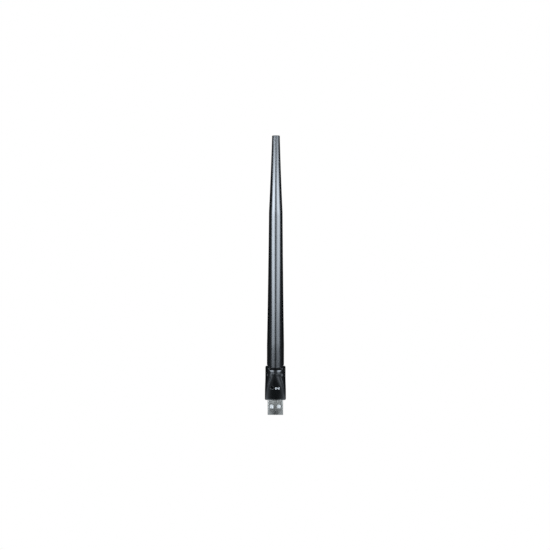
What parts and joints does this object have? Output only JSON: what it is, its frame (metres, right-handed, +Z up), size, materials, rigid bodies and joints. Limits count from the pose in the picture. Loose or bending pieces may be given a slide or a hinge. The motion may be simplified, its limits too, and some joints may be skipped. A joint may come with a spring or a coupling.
{
  "type": "usb wifi adapter",
  "caption": "Short glossy wedge-shaped adapter body with a USB plug, a recessed push button and a long tapered antenna that folds down on a rear hinge.",
  "frame": {"origin": "centre of the USB plug's open end", "axes": "+Z up the antenna away from the plug, -Y the front face with the button, +X to the right seen from the front"},
  "size_m": [0.0164, 0.0149, 0.2182],
  "materials": {
    "housing_plastic": "polished black",
    "antenna_plastic": "satin black",
    "button_plastic": "smoked black",
    "plug_steel": "bright nickel plate",
    "spring_steel": "plain sheet and turned steel",
    "gold": "gold plate",
    "brass": "drawn tube",
    "copper": "bare drawn wire",
    "white_plastic": "moulded white",
    "nylon": "natural nylon",
    "board": "green solder mask on glass-epoxy",
    "chip_plastic": "black moulding compound",
    "ceramic": "tan ceramic",
    "cable_jacket": "dark grey cable jacket",
    "foam": "closed-cell foam"
  },
  "bodies": {
    "housing": {"front_shell": "housing_plastic", "rear_shell": "housing_plastic", "usb_shell": "plug_steel", "usb_insulator": "white_plastic", "usb_contact_vbus": "gold", "usb_contact_data_minus": "gold", "usb_contact_data_plus": "gold", "usb_contact_ground": "gold", "circuit_board": "board", "wifi_chip": "chip_plastic", "amplifier_chip": "chip_plastic", "crystal": "spring_steel", "inductor": "chip_plastic", "status_led": "white_plastic", "capacitor_1": "ceramic", "capacitor_2": "ceramic", "capacitor_3": "ceramic", "capacitor_4": "ceramic", "capacitor_5": "ceramic", "capacitor_6": "ceramic", "shield_can": "spring_steel", "switch_base": "chip_plastic", "switch_dome": "spring_steel", "switch_cover": "spring_steel", "coax_socket": "gold", "coax_plug": "gold", "coax_lower": "cable_jacket", "friction_liner_left": "nylon", "friction_liner_right": "nylon"},
    "antenna": {"antenna_knuckle": "antenna_plastic", "antenna_cover": "antenna_plastic", "hinge_pin_left": "spring_steel", "hinge_pin_right": "spring_steel", "coax_upper": "cable_jacket", "antenna_sleeve": "brass", "radiator_wire": "copper", "feed_insulator": "chip_plastic", "spacer_lower": "foam", "spacer_middle": "foam", "spacer_upper": "foam"},
    "button": {"button_cap": "button_plastic"},
    "plunger": {"switch_plunger": "white_plastic"}
  },
  "joints": [
    {"name": "antenna_tilt", "type": "hinge", "parent": "housing", "child": "antenna", "pos_m": [0, 0, 0.03025], "axis": [-1, 0, 0], "range_deg": [0, 90]},
    {"name": "button_press", "type": "slide", "parent": "housing", "child": "button", "axis": [0, 1, 0], "range_m": [0, 0.0003]},
    {"name": "plunger_press", "type": "slide", "parent": "housing", "child": "plunger", "axis": [0, 1, 0], "range_m": [0, 0.0003]}
  ],
  "couplings": [
    {"joint": "plunger_press", "follows": "button_press", "ratio": 1}
  ]
}
